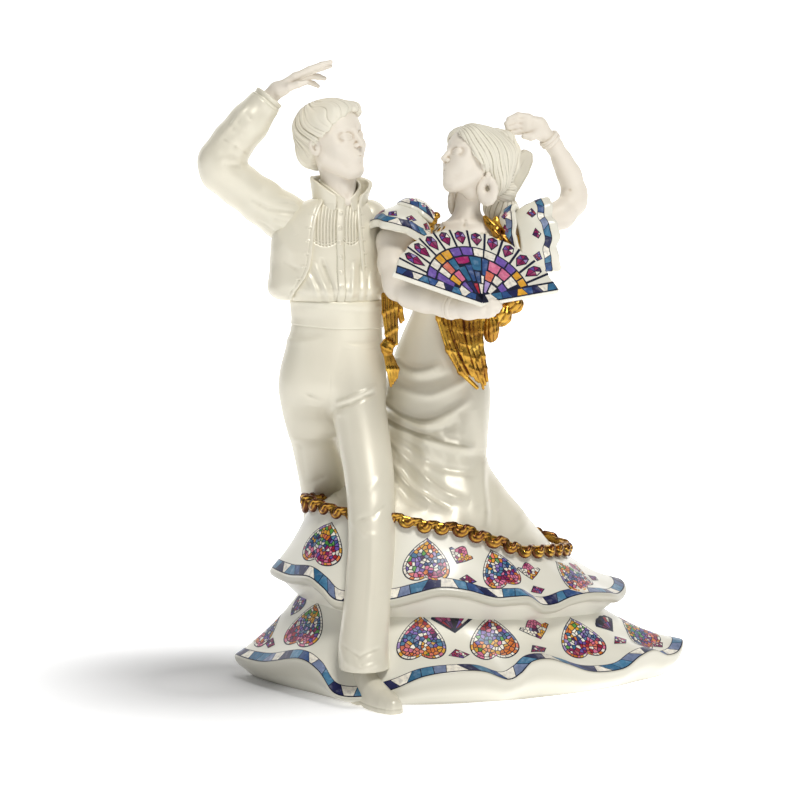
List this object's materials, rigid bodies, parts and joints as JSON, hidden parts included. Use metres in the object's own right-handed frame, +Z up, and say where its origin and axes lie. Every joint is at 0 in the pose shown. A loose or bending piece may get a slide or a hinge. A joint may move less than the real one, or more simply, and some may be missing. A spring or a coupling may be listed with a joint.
{
  "type": "figurine",
  "caption": "porcelain figurine of a dancing couple: a man with one arm raised and a woman with a folding fan, in a long flounced gown that forms the base",
  "frame": {"origin": "centre of the resting face, on the surface that the figurine stands on", "axes": "+Z up, the dancers face -Y, +X towards the train of the gown (the viewer's right)"},
  "size_m": [0.2334, 0.1527, 0.2986],
  "materials": {
    "pearl_glaze": "glossy pearl lustre glaze over white porcelain",
    "decal_glaze": "clear gloss glaze with many-coloured mosaic enamels",
    "bisque": "matt unglazed porcelain, polished",
    "gold_lustre": "burnished gold lustre with brown antiquing",
    "raw_foot": "rough unglazed foot"
  },
  "bodies": {
    "root": {"base_plate": "raw_foot", "lower_flounce": "decal_glaze", "upper_flounce": "decal_glaze", "gold_ruffle_trim": "gold_lustre", "gown_skirt": "pearl_glaze", "gown_bodice": "pearl_glaze", "shawl_wrap": "gold_lustre", "shawl_fringe_right": "gold_lustre", "shawl_fringe_front": "gold_lustre", "shawl_fringe_tail": "gold_lustre", "woman_neck": "bisque", "woman_head": "bisque", "woman_hair": "bisque", "hair_bun": "bisque", "hair_comb": "pearl_glaze", "earring_left": "bisque", "earring_right": "bisque", "woman_right_arm": "bisque", "bracelet_right": "bisque", "woman_right_hand": "bisque", "woman_left_arm": "bisque", "bracelet_left": "bisque", "woman_left_hand": "bisque", "fan": "decal_glaze", "sleeve_frill_right_inner": "decal_glaze", "sleeve_frill_right_outer": "decal_glaze", "sleeve_frill_left_inner": "decal_glaze", "sleeve_frill_left_outer": "decal_glaze", "man_head": "bisque", "man_hair": "bisque", "man_neck": "bisque", "man_collar": "pearl_glaze", "man_shirt": "pearl_glaze", "man_jacket": "pearl_glaze", "man_right_sleeve": "pearl_glaze", "man_right_cuff": "pearl_glaze", "man_right_hand": "bisque", "man_left_sleeve": "pearl_glaze", "man_left_cuff": "pearl_glaze", "man_left_hand": "bisque", "man_sash": "pearl_glaze", "man_trousers": "pearl_glaze", "man_front_leg": "pearl_glaze", "man_rear_leg": "pearl_glaze", "man_front_shoe": "pearl_glaze", "man_rear_shoe": "pearl_glaze"}
  },
  "joints": []
}
